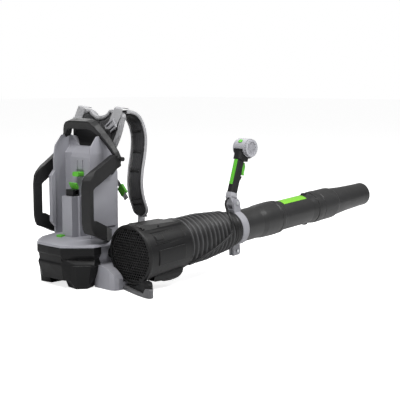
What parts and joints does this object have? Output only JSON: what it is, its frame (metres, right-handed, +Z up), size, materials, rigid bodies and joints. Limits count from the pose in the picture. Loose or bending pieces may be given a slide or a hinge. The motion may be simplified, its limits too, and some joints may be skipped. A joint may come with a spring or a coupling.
{
  "type": "backpack leaf blower",
  "caption": "Cordless backpack leaf blower with a rear battery, padded shoulder harness, side fan, ribbed hose, swivelling blow tubes and a trigger handle.",
  "frame": {"origin": "on the ground under the base housing, midway between its sides", "axes": "+X is the wearer's forward and the way the air leaves, +Y the wearer's left, +Z up; the fan is on the wearer's right"},
  "size_m": [1.316, 0.498, 0.5442],
  "materials": {
    "grey_plastic": "fine-textured moulded plastic",
    "black_plastic": "fine-textured moulded plastic",
    "dark_plastic": "moulded plastic, light sheen",
    "green_plastic": "semi-gloss moulded plastic",
    "soft_black": "soft-touch rubber",
    "hose_black": "ribbed flexible hose",
    "pad_fabric": "padded mesh fabric",
    "webbing": "woven webbing",
    "steel": "zinc-plated",
    "copper": "bare copper",
    "green_label": "plain printed film",
    "board": "circuit board"
  },
  "bodies": {
    "backpack": {"base_housing": "grey_plastic", "side_foot": "grey_plastic", "deck_cover": "grey_plastic", "rear_shell": "grey_plastic", "back_plate": "black_plastic", "carry_frame": "black_plastic", "left_side_handle": "black_plastic", "right_side_handle": "black_plastic", "charge_socket": "black_plastic", "fan_housing": "black_plastic", "support_bracket": "black_plastic", "intake_grille": "black_plastic", "grille_rim": "black_plastic", "motor_pod": "black_plastic", "ladder_buckles": "black_plastic", "grip_recess_panel": "dark_plastic", "controller_box": "dark_plastic", "sternum_buckle": "green_plastic", "foot_pad": "soft_black", "control_cable": "soft_black", "hose_rear": "hose_black", "back_pad": "pad_fabric", "yoke_pad": "pad_fabric", "shoulder_strap_left": "pad_fabric", "shoulder_strap_right": "pad_fabric", "load_webbing": "webbing", "lower_webbing": "webbing", "sternum_strap": "webbing", "case_screws": "steel", "shaft_bearings": "steel", "fan_screws": "steel", "battery_terminals": "copper", "motor_stator": "copper"},
    "hose_middle": {"hose_middle": "hose_black"},
    "hose_front": {"hose_front": "hose_black", "hose_cuff": "hose_black"},
    "tube": {"clamp_ring": "grey_plastic", "clamp_bolt": "steel", "tube_1": "dark_plastic", "knuckle_pin": "steel"},
    "front_tube": {"tube_2": "dark_plastic", "tube_label": "green_label"},
    "nozzle": {"nozzle": "dark_plastic"},
    "handle": {"knuckle": "grey_plastic", "grip": "soft_black", "grip_inlay": "green_plastic", "head_housing": "grey_plastic", "control_board": "board"},
    "trigger": {"trigger": "green_plastic"},
    "boost_button": {"boost_button": "green_plastic"},
    "speed_dial": {"speed_dial": "grey_plastic"},
    "fan_rotor": {"impeller": "dark_plastic", "motor_shaft": "steel", "motor_rotor": "steel"},
    "battery": {"battery_case": "black_plastic", "battery_cells": "green_plastic"},
    "release_button": {"release_button": "green_plastic"},
    "release_lever": {"release_lever": "steel"},
    "tower_button": {"tower_button": "green_plastic"},
    "socket_cover": {"socket_cover": "green_plastic"}
  },
  "joints": [
    {"name": "hose_yaw", "type": "hinge", "parent": "backpack", "child": "hose_middle", "pos_m": [0.22445, -0.223, 0.1247], "axis": [-0.0698, 0, 0.9976], "range_deg": [-20, 25], "deforming": ["hose_rear", "control_cable"]},
    {"name": "hose_pitch", "type": "hinge", "parent": "hose_middle", "child": "hose_front", "pos_m": [0.35214, -0.223, 0.13362], "axis": [0, 1, 0], "range_deg": [-35, 10], "deforming": ["hose_front", "control_cable"]},
    {"name": "tube_twist", "type": "hinge", "parent": "hose_front", "child": "tube", "pos_m": [0.44192, -0.223, 0.1399], "axis": [0.9976, 0, 0.0698], "range_deg": [-35, 35], "deforming": ["control_cable"]},
    {"name": "tube_lock_twist", "type": "hinge", "parent": "tube", "child": "front_tube", "pos_m": [0.66039, -0.223, 0.15518], "axis": [0.9976, 0, 0.0698], "range_deg": [0, 20]},
    {"name": "nozzle_twist", "type": "hinge", "parent": "front_tube", "child": "nozzle", "pos_m": [0.88683, -0.223, 0.17101], "axis": [0.9976, 0, 0.0698], "range_deg": [0, 20]},
    {"name": "handle_tilt", "type": "hinge", "parent": "tube", "child": "handle", "pos_m": [0.45103, -0.223, 0.22474], "axis": [0, 1, 0], "range_deg": [-20, 20], "deforming": ["control_cable"]},
    {"name": "trigger_pull", "type": "hinge", "parent": "handle", "child": "trigger", "pos_m": [0.48989, -0.223, 0.35406], "axis": [0, 1, 0], "range_deg": [0, 12], "stiffness_Nm_per_rad": 0.25, "springref_deg": -8.59},
    {"name": "boost_press", "type": "slide", "parent": "handle", "child": "boost_button", "axis": [0.6691, 0, -0.7431], "range_m": [0, 0.0018], "stiffness_N_per_m": 700, "springref_m": -0.0008},
    {"name": "dial_turn", "type": "hinge", "parent": "handle", "child": "speed_dial", "pos_m": [0.5085, -0.25, 0.40164], "axis": [0, 1, 0], "range_deg": [-135, 135]},
    {"name": "fan_spin", "type": "hinge", "parent": "backpack", "child": "fan_rotor", "pos_m": [0.05985, -0.223, 0.11318], "axis": [0.9976, 0, 0.0698], "continuous": true},
    {"name": "battery_slide", "type": "slide", "parent": "backpack", "child": "battery", "axis": [-1, 0, 0], "range_m": [0, 0.12]},
    {"name": "release_press", "type": "slide", "parent": "backpack", "child": "release_button", "axis": [0, 0, -1], "range_m": [0, 0.003], "stiffness_N_per_m": 600, "springref_m": -0.001},
    {"name": "lever_tilt", "type": "hinge", "parent": "backpack", "child": "release_lever", "pos_m": [-0.048, 0.022, 0.132], "axis": [0, 1, 0], "range_deg": [-9.2, 0]},
    {"name": "lock_press", "type": "slide", "parent": "backpack", "child": "tower_button", "axis": [1, 0, 0], "range_m": [0, 0.004], "stiffness_N_per_m": 600, "springref_m": -0.001},
    {"name": "cover_flip", "type": "hinge", "parent": "backpack", "child": "socket_cover", "pos_m": [-0.026, 0, 0.2934], "axis": [0, 1, 0], "range_deg": [-64, 20]}
  ],
  "couplings": [
    {"joint": "lever_tilt", "follows": "release_press", "rad_per_m": -52.632}
  ]
}
